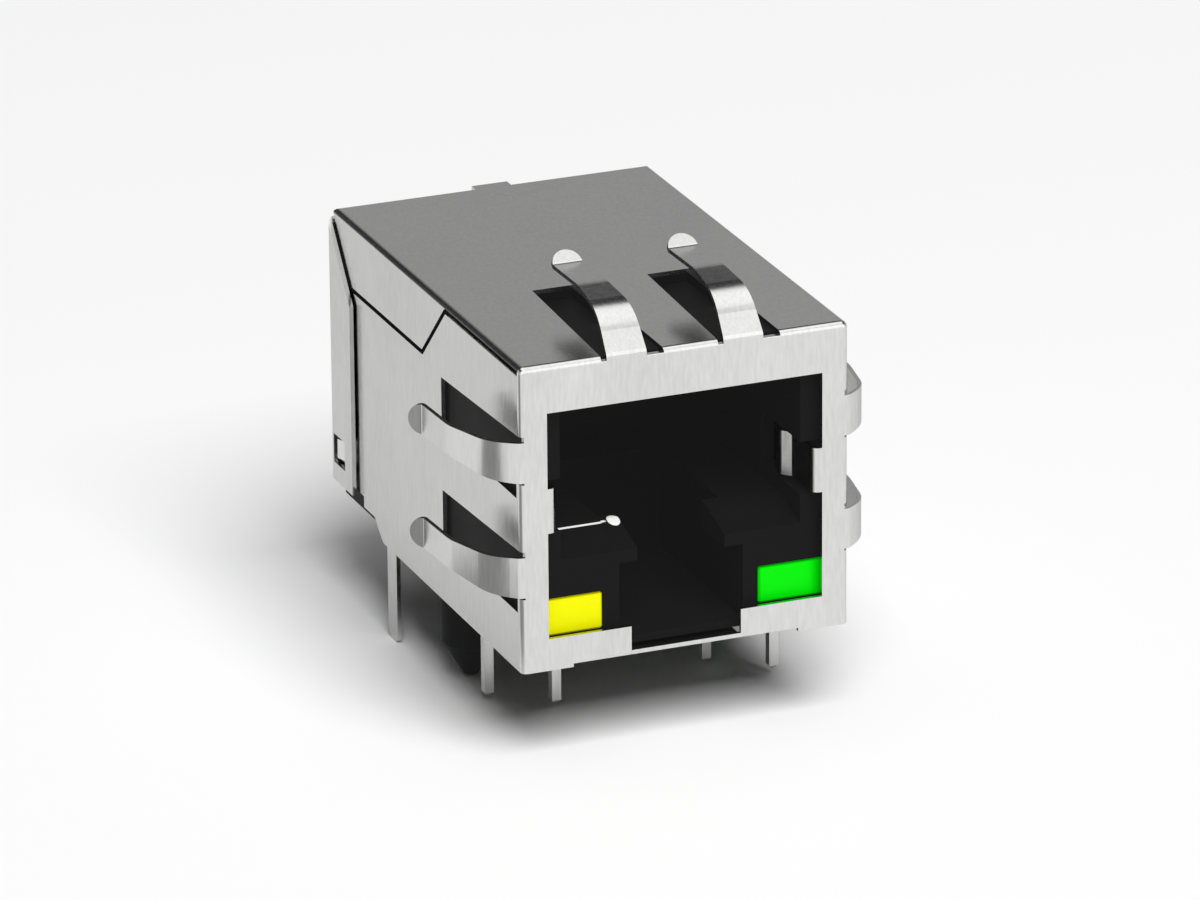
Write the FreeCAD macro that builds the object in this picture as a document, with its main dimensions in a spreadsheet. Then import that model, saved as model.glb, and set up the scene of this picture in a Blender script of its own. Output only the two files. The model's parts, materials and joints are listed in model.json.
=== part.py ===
import FreeCAD, Part

import math
import os

import Sketcher

# Board jack for a network cable: a folded metal shield round a black housing, with
# spring fingers on three sides, two indicator lamps, and the filter parts behind.
# Lengths are in millimetres. X runs to the right, Y from the mouth to the rear, Z up.
# The origin is on the circuit board's surface, midway between the two locating posts.

doc = FreeCAD.newDocument("board_jack")

# Driving dimensions: alias, value, meaning
DIMENSIONS = [
    ("shield_width", 16.1, "outside width of the folded shield"),
    ("shield_height", 14.6, "height of the shield's front frame"),
    ("shield_depth", 24.0, "depth of the shield from front to rear"),
    ("sheet_thick", 0.2, "thickness of the shield's sheet"),
    ("cut_overrun", 2.0, "how far a cutting shape reaches past the surface that it cuts"),
    ("bend_outer", 0.3, "outside radius of the shield's bends"),
    ("bend_inner_least", 0.05, "least inside radius of the shield's bends"),
    ("board_gap", 0.25, "height of the front frame's lower edge over the board"),
    ("skirt_drop", 0.17, "how far the side panels reach below the front frame's middle"),
    ("skirt_corner", 2.5, "width of the lower corner of the front frame"),
    ("front_to_posts", 11.1, "distance from the front face to the locating posts"),
    ("frame_side_bar", 1.31, "width of the front frame's side bars"),
    ("frame_top_bar", 2.3, "width of the front frame's top bar"),
    ("frame_bottom_bar", 1.37, "width of the front frame's bottom bar"),
    ("latch_gap_width", 5.4, "width of the gap for the plug's latch in the bottom bar"),
    ("tongue_width", 5.2, "width of the floor tongue under the latch gap"),
    ("tongue_length", 4.0, "length of the floor tongue"),
    ("seam_gap", 0.24, "open seam between two edges of the folded sheet"),
    ("seam_corner", 0.18, "radius of a corner in the open seam"),
    ("flap_front", 9.3, "front top corner of the roof's side flap, from the front face"),
    ("flap_foot_front", 12.3, "front lower corner of the side flap, from the front face"),
    ("flap_foot_rear", 2.4, "rear lower corner of the side flap, from the rear face"),
    ("flap_height", 3.3, "height of the side flap"),
    ("door_wrap", 2.85, "length of the rear door's side flange"),
    ("door_gap", 0.1, "gap between the rear door's flange and the side panel"),
    ("mitre_gap", 0.12, "gap between the rear door's flange and the roof's side flap"),
    ("door_lift", 1.1, "height of the rear door's lower edge over the front frame's"),
    ("panel_cut_length", 1.1, "length of the slanted cut at the side panel's rear foot"),
    ("panel_cut_height", 0.75, "height of the slanted cut at the side panel's rear foot"),
    ("panel_cut_gap", 0.55, "distance of the slanted cut behind the solder tab"),
    ("panel_notch_gap", 1.4, "distance of the notch behind the slanted cut"),
    ("panel_notch_height", 1.3, "height of the notch behind the slanted cut"),
    ("lock_window_width", 1.5, "width of the lock window in the door's flange"),
    ("lock_window_height", 1.45, "height of the lock window in the door's flange"),
    ("lock_window_inset", 0.4, "distance of the lock window from the rear face"),
    ("lock_window_lift", 2.0, "height of the lock window over the front frame's edge"),
    ("break_tab_width", 1.8, "width of the broken-off carrier tab on the rear edge"),
    ("break_tab_reach", 0.3, "reach of the broken-off carrier tab"),
    ("board_tab_width", 1.2, "width of the shield's solder tab"),
    ("board_tab_front", 16.15, "front edge of the solder tab, from the front face"),
    ("board_tab_depth", 4.4, "depth of the solder tab's tip below the board's surface"),
    ("board_tab_corner", 0.2, "bevel of the solder tab's two lower corners"),
    ("tip_depth", 4.05, "depth of every lead's tip below the board's surface"),
    ("roof_finger_spacing", 5.7, "distance between the middles of the two roof fingers"),
    ("upper_finger_lift", 10.07, "middle of the upper side finger over the front frame's lower edge"),
    ("lower_finger_lift", 4.52, "middle of the lower side finger over the front frame's lower edge"),
    ("window_near", 1.23, "near edge of a finger window from the finger's middle, at the front"),
    ("window_far", 1.83, "far edge of a finger window from the finger's middle"),
    ("window_taper", 0.42, "how much narrower a finger window is at its rear edge"),
    ("roof_window_rear", 9.52, "rear edge of a roof window, from the front face"),
    ("side_window_front", 0.5, "front edge of a side window, from the front face"),
    ("side_window_rear", 9.9, "rear edge of a side window, from the front face"),
    ("finger_thick", 0.2, "thickness of a spring finger"),
    ("finger_root_width", 1.95, "width of a spring finger at its root"),
    ("finger_tip_width", 1.45, "width of a spring finger at its tip"),
    ("finger_taper", 4.0, "length over which a spring finger narrows from its root"),
    ("finger_seat", 0.6, "how far a finger runs down into the front frame"),
    ("roof_finger_crest", 1.44, "distance of the roof finger's upper bend from the front face"),
    ("roof_finger_rise", 1.67, "height of the roof finger's middle line at its upper bend"),
    ("roof_finger_bend", 2.4, "radius of the roof finger's upper bend"),
    ("roof_finger_level", 1.98, "height of the roof finger's middle line where it runs level"),
    ("side_finger_crest", 0.98, "distance of the side finger's upper bend from the front face"),
    ("side_finger_rise", 1.1, "height of the side finger's middle line at its upper bend"),
    ("side_finger_bend", 2.6, "radius of the side finger's upper bend"),
    ("side_finger_level", 1.8, "height of the side finger's middle line where it runs level"),
    ("finger_level_start", 4.2, "distance from the front face at which a finger runs level"),
    ("finger_level_bend", 5.0, "radius of the bend at which a finger runs level"),
    ("finger_end_rise", 1.93, "height of a finger's middle line at its upturned end"),
    ("finger_kick", 7.15, "distance of the finger's upturned end from the front face"),
    ("finger_kick_angle", 45, "angle of the finger's upturned end to the sheet, in degrees"),
    ("finger_root_bend", 0.3, "radius of the bend at a finger's root"),
    ("finger_tip_bend", 0.3, "radius of the bend at a finger's upturned end"),
    ("plug_tab_lift", 6.5, "lower edge of the tab that touches the plug's shield"),
    ("plug_tab_height", 2.15, "height of the tab that touches the plug's shield"),
    ("plug_tab_root", 0.45, "how far the tab's root stands into the mouth"),
    ("plug_tab_step", 2.45, "distance of the tab's inward bend from the front face"),
    ("plug_tab_reach", 0.93, "how far the tab's crest stands into the mouth"),
    ("plug_tab_crest", 2.95, "distance of the tab's crest from the front face"),
    ("plug_tab_length", 4.6, "length of the tab from the front face"),
    ("plug_tab_fold", 0.25, "radius of the fold at the tab's root"),
    ("plug_tab_bend", 0.2, "radius of the bends at the tab's crest"),
    ("fit_gap", 0.1, "clearance between the shield and the mouldings in it"),
    ("tab_clearance", 0.2, "clearance round the plug tab in the housing"),
    ("housing_setback", 0.6, "housing's front face behind the shield's front face"),
    ("housing_lift", 0.55, "height of the housing's underside over the board"),
    ("housing_bevel", 0.3, "bevel of the housing's two upper long edges"),
    ("cavity_width", 11.8, "width of the plug cavity"),
    ("cavity_height", 6.75, "height of the plug cavity"),
    ("cavity_depth", 12.0, "depth of the plug cavity from the housing's front face"),
    ("cavity_drop", 2.25, "plug cavity's roof below the shield's top"),
    ("channel_width", 6.1, "width of the latch channel"),
    ("channel_depth", 10.0, "depth of the latch channel from the housing's front face"),
    ("channel_floor", 0.35, "thickness of the floor under the latch channel"),
    ("stop_width", 0.9, "width of a latch stop"),
    ("stop_height", 1.3, "height of a latch stop"),
    ("stop_length", 2.8, "length of a latch stop"),
    ("ramp_length", 2.5, "length of the lead-in ramp at the mouth"),
    ("ramp_drop", 0.7, "drop of the lead-in ramp at the mouth"),
    ("relief_depth", 0.45, "depth of the recess under each spring finger"),
    ("post_spacing", 12.6, "distance between the two locating posts"),
    ("post_radius", 1.4, "radius of a locating post"),
    ("post_straight", 2.5, "length of a post's straight part below the board"),
    ("post_depth", 4.2, "depth of a post's tip below the board's surface"),
    ("post_tip_radius", 0.35, "radius of a post's flat tip"),
    ("boss_radius", 1.9, "radius of the stand-off boss over a locating post"),
    ("foot_radius", 0.7, "radius of a stand-off foot under the housing"),
    ("foot_inset", 1.3, "distance of a stand-off foot from the housing's edges"),
    ("contact_pitch", 1.016, "pitch of the contact wires"),
    ("contact_width", 0.35, "width of a contact wire"),
    ("contact_thick", 0.3, "thickness of a contact wire"),
    ("contact_level", 0.75, "contact wire's upper leg over the plug cavity's roof"),
    ("contact_mouth", 3.4, "contact wire's hairpin, from the front face"),
    ("contact_dip", 3.0, "how far the contact wire's free end hangs below the roof"),
    ("contact_reach", 11.0, "contact wire's free end, from the front face"),
    ("contact_bend", 0.35, "radius of the contact wire's hairpin"),
    ("contact_tail", 0.5, "how far the contact wires stand out of the circuit board"),
    ("slot_width", 0.6, "width of a contact slot in the cavity's roof"),
    ("slot_height", 1.1, "height of a contact slot in the cavity's roof"),
    ("slot_front", 2.3, "front end of a contact slot, from the housing's front face"),
    ("comb_length", 1.6, "length of the comb ribs at the cavity's rear"),
    ("comb_height", 4.2, "height of the comb ribs at the cavity's rear"),
    ("comb_rib", 0.36, "thickness of a comb rib"),
    ("carrier_width", 9.2, "width of the contact carrier"),
    ("carrier_height", 2.4, "height of the contact carrier"),
    ("slip", 0.02, "clearance of a wire or pin in its hole"),
    ("lamp_width", 3.2, "width of an indicator lamp"),
    ("lamp_height", 1.8, "height of an indicator lamp"),
    ("lamp_length", 4.6, "length of an indicator lamp"),
    ("lamp_lift", 1.22, "indicator lamp's lower face over the front frame's lower edge"),
    ("lamp_wall", 0.7, "housing wall between an indicator lamp and the shield"),
    ("lamp_gap", 0.06, "clearance round an indicator lamp"),
    ("lamp_edge", 0.1, "bevel of an indicator lamp's edges"),
    ("lead_width", 0.45, "width of a square lead"),
    ("lead_pitch", 2.54, "distance between the two leads of a lamp"),
    ("lead_bend", 0.45, "centre-line radius of the leads' bend"),
    ("front_lead", 5.85, "right lead of a lamp, from the front face"),
    ("rear_lead", 7.9, "left lead of a lamp, from the front face"),
    ("board_thick", 0.8, "thickness of the upright circuit board"),
    ("board_inset", 0.25, "circuit board's side edges inside the housing's sides"),
    ("filter_depth", 7.0, "depth of the filter case behind the upright circuit board"),
    ("case_wall", 0.8, "wall of the filter case"),
    ("case_floor", 1.2, "floor of the filter case"),
    ("case_drop", 1.0, "filter case's rim below the shield's roof"),
    ("pin_pitch", 2.54, "pitch of the signal pins in a row"),
    ("pin_row_front", 0.75, "front row of signal pins, from the upright circuit board"),
    ("pin_row_step", 2.54, "distance between the two rows of signal pins"),
    ("pin_head", 0.9, "height of a signal pin inside the filter case"),
    ("pin_point", 0.14, "bevel at the tip of a lead"),
    ("core_radius", 2.6, "outside radius of a wound ring core"),
    ("core_bore", 1.1, "bore radius of a wound ring core"),
    ("core_thick", 2.2, "thickness of a wound ring core"),
    ("core_bevel", 0.5, "bevel of a wound ring core's edges"),
    ("core_spacing", 5.8, "distance between two ring cores"),
    ("core_gap", 0.15, "clearance between the signal pins' heads and the lower ring cores"),
    ("chip_length", 1.6, "length of a chip resistor"),
    ("chip_width", 0.8, "width of a chip resistor"),
    ("chip_thick", 0.45, "thickness of a chip resistor"),
    ("chip_spacing", 2.6, "distance between two chip resistors"),
    ("chip_lift", 4.4, "height of the chip resistors over the board"),
    ("capacitor_length", 4.5, "length of the high-voltage capacitor"),
    ("capacitor_width", 2.0, "width of the high-voltage capacitor"),
    ("capacitor_thick", 1.4, "thickness of the high-voltage capacitor"),
    ("capacitor_lift", 7.6, "height of the high-voltage capacitor over the board"),
]
CONTACT_COUNT = 8
PIN_COUNT = 8
CHIP_COUNT = 4
SIDES = (("left", -1), ("right", 1))
SIDE_ROWS = (("upper", "Sizes.upper_finger_lift"), ("lower", "Sizes.lower_finger_lift"))
CLOSE = 0.0001

sheet = doc.addObject("Spreadsheet::Sheet", "Sizes")
for row, (alias, value, meaning) in enumerate(DIMENSIONS, start=1):
    sheet.set(f"A{row}", meaning)
    sheet.set(f"B{row}", str(value))
    sheet.setAlias(f"B{row}", alias)
doc.recompute()

# Planes and faces that many pieces share
FRONT = "(-Sizes.front_to_posts)"
REAR = "(Sizes.shield_depth - Sizes.front_to_posts)"
BASE = "Sizes.board_gap"
ROOF = "(Sizes.board_gap + Sizes.shield_height)"
SIDE = "(Sizes.shield_width / 2)"
WALL = "Sizes.sheet_thick"
SKIRT = "(Sizes.board_gap - Sizes.skirt_drop)"
BEYOND = "Sizes.cut_overrun"
TIP = "(-Sizes.tip_depth)"
INNER_SIDE = f"({SIDE} - {WALL} - Sizes.fit_gap)"
INNER_ROOF = f"({ROOF} - {WALL})"
HOUSING_FRONT = f"({FRONT} + Sizes.housing_setback)"
CAVITY_ROOF = f"({ROOF} - Sizes.cavity_drop)"
CAVITY_FLOOR = f"({CAVITY_ROOF} - Sizes.cavity_height)"
CAVITY_REAR = f"({HOUSING_FRONT} + Sizes.cavity_depth)"
CASE_REAR = f"({REAR} - {WALL} - Sizes.fit_gap)"
BOARD_REAR = f"({CASE_REAR} - Sizes.filter_depth)"
HOUSING_REAR = f"({BOARD_REAR} - Sizes.board_thick)"
LAMP_OUTER = f"({INNER_SIDE} - Sizes.lamp_wall)"
LAMP_INNER = f"({LAMP_OUTER} - Sizes.lamp_width)"
LAMP_FLOOR = f"({BASE} + Sizes.lamp_lift)"
LAMP_FRONT = f"({HOUSING_FRONT} + Sizes.lamp_gap)"
LAMP_REAR = f"({LAMP_FRONT} + Sizes.lamp_length)"
WIRE_LEVEL = f"({CAVITY_ROOF} + Sizes.contact_level)"
CARRIER_FRONT = f"({CAVITY_REAR} + Sizes.fit_gap)"
CASE_FLOOR = "(Sizes.housing_lift + Sizes.case_floor)"
PIN_TOP = f"({CASE_FLOOR} + Sizes.pin_head)"

TURN = {
    "XY": FreeCAD.Rotation(),
    "XZ": FreeCAD.Rotation(FreeCAD.Vector(1, 0, 0), 90),
    "YZ": FreeCAD.Rotation(FreeCAD.Vector(1, 1, 1), 120),
}
ACROSS = {"XY": "z", "XZ": "y", "YZ": "x"}


def number(expression):
    """The present value of an expression on the sheet."""
    return float(sheet.evalExpression(str(expression)))


def trace(sketch, points):
    """Draws a closed outline whose corners are held by expressions."""
    corners = [FreeCAD.Vector(number(x), number(y), 0) for x, y in points]
    count = len(corners)
    for index in range(count):
        sketch.addGeometry(Part.LineSegment(corners[index], corners[(index + 1) % count]), False)
    for index in range(count):
        sketch.addConstraint(Sketcher.Constraint("Coincident", index, 2, (index + 1) % count, 1))
    for index, (x, y) in enumerate(points):
        corner = corners[index]
        for kind, expression, value in (("DistanceX", x, corner.x), ("DistanceY", y, corner.y)):
            held = sketch.addConstraint(Sketcher.Constraint(kind, -1, 1, index, 1, value))
            sketch.setExpression(f"Constraints[{held}]", expression)


def strip_edges(points, radii, thick):
    """The outline of a strip bent along the points, each bend with its centre-line radius."""
    spots = [FreeCAD.Vector(x, y, 0) for x, y in points]
    ways = [(b - a).normalize() for a, b in zip(spots, spots[1:])]
    normals = [FreeCAD.Vector(-way.y, way.x, 0) for way in ways]
    edges = []
    ends = {}
    for side in (1, -1):
        shift = side * thick / 2
        here = spots[0] + normals[0] * shift
        ends[side] = [here]
        for index, radius in enumerate(radii, start=1):
            turn = ways[index - 1].cross(ways[index]).z
            bend = math.copysign(1, turn)
            angle = ways[index - 1].getAngle(ways[index])
            trim = radius * math.tan(angle / 2)
            start = spots[index] - ways[index - 1] * trim
            centre = start + normals[index - 1] * (bend * radius)
            middle = (normals[index - 1] + normals[index]).normalize()
            arc_radius = radius - bend * shift
            first = start + normals[index - 1] * shift
            last = spots[index] + ways[index] * trim + normals[index] * shift
            edges.append(Part.LineSegment(here, first))
            edges.append(Part.Arc(first, centre - middle * (bend * arc_radius), last))
            here = last
        last = spots[-1] + normals[-1] * shift
        edges.append(Part.LineSegment(here, last))
        ends[side].append(last)
    edges.append(Part.LineSegment(ends[1][0], ends[-1][0]))
    edges.append(Part.LineSegment(ends[1][1], ends[-1][1]))
    return edges


def free_sketch(name, plane, start, end):
    """An empty sketch in a plane, at the end from which it is extruded."""
    sketch = doc.addObject("Sketcher::SketchObject", name + "_outline")
    sketch.Placement = FreeCAD.Placement(FreeCAD.Vector(), TURN[plane])
    sketch.setExpression("Placement.Base." + ACROSS[plane], end if plane == "XZ" else start)
    return sketch


def extruded(name, sketch, length):
    solid = doc.addObject("Part::Extrusion", name)
    solid.Base = sketch
    solid.DirMode = "Normal"
    solid.Solid = True
    solid.setExpression("LengthFwd", length)
    return solid


def prism(name, plane, points, start, end):
    """A straight-sided outline, extruded from start to end across its plane."""
    sketch = free_sketch(name, plane, start, end)
    trace(sketch, points)
    return extruded(name, sketch, f"({end}) - ({start})")


def strip(name, plane, points, radii, thick, start, end):
    """A bent strip, extruded from start to end across its plane."""
    sketch = free_sketch(name, plane, start, end)
    places = [(number(x), number(y)) for x, y in points]
    sketch.addGeometry(strip_edges(places, [number(radius) for radius in radii], number(thick)), False)
    return extruded(name, sketch, f"({end}) - ({start})")


def block(name, low, high):
    """A box between two corners, each given as three expressions."""
    box = doc.addObject("Part::Box", name)
    for side, axis, start, end in zip(("Length", "Width", "Height"), "xyz", low, high):
        box.setExpression("Placement.Base." + axis, start)
        box.setExpression(side, f"({end}) - ({start})")
    return box


def chosen_edges(base, size, wanted):
    """The edges of a solid that the test wants, each with the size of its fillet or bevel."""
    doc.recompute()
    edges = enumerate(base.Shape.Edges, start=1)
    return [(index, size, size) for index, edge in edges if wanted(edge)]


def rounded(name, base, radius, wanted):
    result = doc.addObject("Part::Fillet", name)
    result.Base = base
    result.Edges = chosen_edges(base, number(radius), wanted)
    return result


def bevelled(name, base, size, wanted):
    result = doc.addObject("Part::Chamfer", name)
    result.Base = base
    result.Edges = chosen_edges(base, number(size), wanted)
    return result


def fused(name, *pieces):
    result = doc.addObject("Part::MultiFuse", name)
    result.Shapes = list(pieces)
    return result


def without(name, base, *tools):
    """The base with every tool cut away."""
    result = doc.addObject("Part::Cut", name)
    result.Base = base
    result.Tool = tools[0] if len(tools) == 1 else fused(name + "_tools", *tools)
    return result


def shared(name, *pieces):
    result = doc.addObject("Part::MultiCommon", name)
    result.Shapes = list(pieces)
    return result


def mirrored(name, source):
    """The same piece on the other side of the jack."""
    result = doc.addObject("Part::Mirroring", name)
    result.Source = source
    result.Normal = FreeCAD.Vector(1, 0, 0)
    return result


def both_sides(source):
    return [source, mirrored(source.Name + "_mirrored", source)]


def along(edge, axis):
    """Whether an edge is straight and runs along an axis."""
    ends = [vertex.Point for vertex in edge.Vertexes]
    return len(ends) == 2 and abs(abs((ends[1] - ends[0]).normalize()[axis]) - 1) < CLOSE


def at(edge, axis, place):
    """Whether all of an edge lies at one place on an axis."""
    return all(abs(vertex.Point[axis] - place) < CLOSE for vertex in edge.Vertexes)


def origin_plane(body, role):
    return next(plane for plane in body.Origin.OriginFeatures if plane.Role == role)


def body_sketch(body, role, name, offset):
    """A sketch on one of the body's own origin planes, moved along that plane's normal."""
    sketch = body.newObject("Sketcher::SketchObject", name)
    sketch.AttachmentSupport = [(origin_plane(body, role), "")]
    sketch.MapMode = "FlatFace"
    sketch.setExpression("AttachmentOffset.Base.z", offset)
    return sketch


def pad(body, sketch, name, length, backwards=False):
    feature = body.newObject("PartDesign::Pad", name)
    feature.Profile = sketch
    feature.setExpression("Length", length)
    feature.Reversed = backwards
    sketch.Visibility = False
    doc.recompute()
    return feature


def pocket(body, sketch, name, length, backwards=False):
    """Cuts a sketch into the body and makes sure that it took something away."""
    before = body.Shape.Volume
    feature = body.newObject("PartDesign::Pocket", name)
    feature.Profile = sketch
    feature.setExpression("Length", length)
    feature.Reversed = backwards
    sketch.Visibility = False
    doc.recompute()
    if not body.Shape.Volume < before:
        raise RuntimeError(f"{name} cuts nothing")
    return feature


def mirror_feature(body, feature, name):
    """Repeats a feature on the other side of the body's middle plane."""
    result = body.newObject("PartDesign::Mirrored", name)
    result.Originals = [feature]
    result.MirrorPlane = (origin_plane(body, "YZ_Plane"), [""])
    body.Tip = result
    doc.recompute()
    return result


def repeat_feature(body, feature, name, step, count):
    """Repeats a feature along the body's X axis."""
    result = body.newObject("PartDesign::LinearPattern", name)
    result.Originals = [feature]
    result.Direction = (origin_plane(body, "X_Axis"), [""])
    result.setExpression("Length", f"({step}) * {count - 1}")
    result.Occurrences = count
    body.Tip = result
    doc.recompute()
    return result


def rectangle(left, low, right, high):
    return [(left, low), (right, low), (right, high), (left, high)]


def from_front(distance):
    return f"({FRONT} + {distance})"


def new_body(label):
    body = doc.addObject("PartDesign::Body", label)
    body.Label = label
    return body


# Folded shield: one sheet, with its spring fingers and tabs
def make_finger(name, kind):
    """A spring finger at the origin: it leaves the front face upwards and runs back along Y."""
    half_root = "Sizes.finger_root_width / 2"
    half_tip = "Sizes.finger_tip_width / 2"
    thick = "Sizes.finger_thick"
    kick = "Sizes.finger_kick"
    kick_rise = "Sizes.finger_end_rise"
    angle = number("Sizes.finger_kick_angle")
    back = math.cos(math.radians(angle))
    up = math.sin(math.radians(angle))
    path = [
        (f"{thick} / 2", "-Sizes.finger_seat"),
        (f"{thick} / 2", "0"),
        (f"Sizes.{kind}_finger_crest", f"Sizes.{kind}_finger_rise"),
        ("Sizes.finger_level_start", f"Sizes.{kind}_finger_level"),
        (kick, kick_rise),
        (f"{kick} + Sizes.finger_tip_width * {back}", f"{kick_rise} + Sizes.finger_tip_width * {up}"),
    ]
    bends = ["Sizes.finger_root_bend", f"Sizes.{kind}_finger_bend"]
    bends += ["Sizes.finger_level_bend", "Sizes.finger_tip_bend"]
    profile = strip(name + "_profile", "YZ", path, bends, thick, f"-{half_root}", half_root)
    plan = prism(
        name + "_plan", "XY",
        [
            (f"-{half_root}", "0"), (half_root, "0"), (half_tip, "Sizes.finger_taper"),
            (half_tip, kick), (f"-{half_tip}", kick), (f"-{half_tip}", "Sizes.finger_taper"),
        ],
        "-Sizes.finger_seat", f"{kick_rise} + {BEYOND}",
    )
    tip = doc.addObject("Part::Cylinder", name + "_tip")
    tip.setExpression("Radius", half_tip)
    tip.setExpression("Height", f"2 * {BEYOND}")
    tip.Placement = FreeCAD.Placement(FreeCAD.Vector(), FreeCAD.Rotation(FreeCAD.Vector(1, 0, 0), angle))
    tip.setExpression("Placement.Base.y", f"{kick} + {BEYOND} * {up}")
    tip.setExpression("Placement.Base.z", f"{kick_rise} - {BEYOND} * {back}")
    return shared(name, profile, fused(name + "_form", plan, tip))


def place(piece, x, y, z, turn_degrees):
    """Puts a piece at a spot, turned about the Y axis."""
    turn = FreeCAD.Rotation(FreeCAD.Vector(0, 1, 0), turn_degrees)
    piece.Placement = FreeCAD.Placement(FreeCAD.Vector(), turn)
    for axis, expression in zip("xyz", (x, y, z)):
        piece.setExpression("Placement.Base." + axis, expression)
    return piece


def make_fingers():
    """Two fingers on the roof and two on each side panel."""
    fingers = []
    for side, way in SIDES:
        spot = (f"{way} * Sizes.roof_finger_spacing / 2", FRONT, ROOF)
        fingers.append(place(make_finger(f"roof_finger_{side}", "roof"), *spot, 0))
        for name, lift in SIDE_ROWS:
            spot = (f"{way} * {SIDE}", FRONT, f"{BASE} + {lift}")
            fingers.append(place(make_finger(f"{name}_finger_{side}", "side"), *spot, way * 90))
    return fingers


def make_windows():
    """Openings that the fingers are cut from, each notched through the bend at its finger's root."""
    windows = []
    past_front = f"{FRONT} - {BEYOND}"
    rear = from_front("Sizes.roof_window_rear")
    for side, way in SIDES:
        middle = f"{way} * Sizes.roof_finger_spacing / 2"
        near = f"{middle} - Sizes.window_near"
        far = f"{middle} + Sizes.window_far"
        near_rear = f"{near} + Sizes.window_taper"
        corners = [(near, past_front), (far, past_front), (far, rear), (near_rear, rear), (near, FRONT)]
        windows.append(prism(f"roof_window_{side}", "XY", corners, INNER_ROOF, f"{ROOF} + {BEYOND}"))
    front = from_front("Sizes.side_window_front")
    rear = from_front("Sizes.side_window_rear")
    inside = f"{SIDE} - {WALL}"
    outside = f"{SIDE} + {BEYOND}"
    for name, lift in SIDE_ROWS:
        low = f"{BASE} + {lift} - Sizes.window_far"
        high = f"{BASE} + {lift} + Sizes.window_near"
        corners = [(front, low), (rear, low), (rear, f"{high} - Sizes.window_taper"), (front, high)]
        windows += both_sides(prism(f"{name}_side_window", "YZ", corners, inside, outside))
        root_low = f"{BASE} + {lift} - Sizes.finger_root_width / 2 - Sizes.fit_gap"
        slot_rear = f"{front} + Sizes.fit_gap"
        slot = block(f"{name}_root_slot", (inside, past_front, root_low), (outside, slot_rear, high))
        windows += both_sides(slot)
    return windows


def door_slope(distance, drop="0"):
    """Point on the slanted seam between the side flap and the rear door, from the rear face."""
    rise = "(Sizes.flap_height - Sizes.bend_outer) / Sizes.flap_foot_rear"
    level = f"{ROOF} - Sizes.flap_height + (Sizes.flap_foot_rear - ({distance})) * {rise} - ({drop})"
    return (f"{REAR} - ({distance})", level)


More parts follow.
